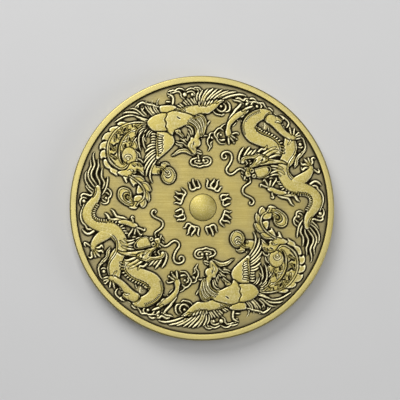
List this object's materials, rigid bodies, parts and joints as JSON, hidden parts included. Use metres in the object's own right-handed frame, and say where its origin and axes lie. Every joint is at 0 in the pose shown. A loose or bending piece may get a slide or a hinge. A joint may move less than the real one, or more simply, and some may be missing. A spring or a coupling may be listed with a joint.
{
  "type": "challenge coin",
  "caption": "Round antique-brass coin with a raised rim on each side, a centre sun disc with flames, and dragons and phoenixes in relief.",
  "frame": {"origin": "centre of the coin's lower rim plane, which it rests on", "axes": "+Z is the coin's thickness, out of the picture side; +Y is the top of the picture; +X is its right"},
  "size_m": [0.04, 0.04, 0.003],
  "materials": {
    "rim_brass": "antique brass plating, rubbed bright on the rim",
    "relief_brass": "antique brass plating, bright on the high points and black in the recesses",
    "field_brass": "antique brass plating, brushed field with dark patina around the relief"
  },
  "bodies": {
    "root": {"back_east_dragon_body": "relief_brass", "back_east_dragon_head": "relief_brass", "back_east_dragon_hind_leg": "relief_brass", "back_east_dragon_lower_leg": "relief_brass", "back_east_dragon_outer_leg": "relief_brass", "back_east_dragon_tail": "relief_brass", "back_east_dragon_upper_leg": "relief_brass", "back_east_dragon_whiskers": "relief_brass", "back_north_clouds": "relief_brass", "back_north_phoenix_body": "relief_brass", "back_north_phoenix_lower_wing": "relief_brass", "back_north_phoenix_plumes": "relief_brass", "back_north_phoenix_upper_wing": "relief_brass", "back_rim": "rim_brass", "back_south_clouds": "relief_brass", "back_south_phoenix_body": "relief_brass", "back_south_phoenix_lower_wing": "relief_brass", "back_south_phoenix_plumes": "relief_brass", "back_south_phoenix_upper_wing": "relief_brass", "back_sun_disc": "relief_brass", "back_sun_flames": "relief_brass", "back_west_dragon_body": "relief_brass", "back_west_dragon_head": "relief_brass", "back_west_dragon_hind_leg": "relief_brass", "back_west_dragon_lower_leg": "relief_brass", "back_west_dragon_outer_leg": "relief_brass", "back_west_dragon_tail": "relief_brass", "back_west_dragon_upper_leg": "relief_brass", "back_west_dragon_whiskers": "relief_brass", "blank": "field_brass", "face_east_dragon_body": "relief_brass", "face_east_dragon_head": "relief_brass", "face_east_dragon_hind_leg": "relief_brass", "face_east_dragon_lower_leg": "relief_brass", "face_east_dragon_outer_leg": "relief_brass", "face_east_dragon_tail": "relief_brass", "face_east_dragon_upper_leg": "relief_brass", "face_east_dragon_whiskers": "relief_brass", "face_north_clouds": "relief_brass", "face_north_phoenix_body": "relief_brass", "face_north_phoenix_lower_wing": "relief_brass", "face_north_phoenix_plumes": "relief_brass", "face_north_phoenix_upper_wing": "relief_brass", "face_rim": "rim_brass", "face_south_clouds": "relief_brass", "face_south_phoenix_body": "relief_brass", "face_south_phoenix_lower_wing": "relief_brass", "face_south_phoenix_plumes": "relief_brass", "face_south_phoenix_upper_wing": "relief_brass", "face_sun_disc": "relief_brass", "face_sun_flames": "relief_brass", "face_west_dragon_body": "relief_brass", "face_west_dragon_head": "relief_brass", "face_west_dragon_hind_leg": "relief_brass", "face_west_dragon_lower_leg": "relief_brass", "face_west_dragon_outer_leg": "relief_brass", "face_west_dragon_tail": "relief_brass", "face_west_dragon_upper_leg": "relief_brass", "face_west_dragon_whiskers": "relief_brass"}
  },
  "joints": []
}
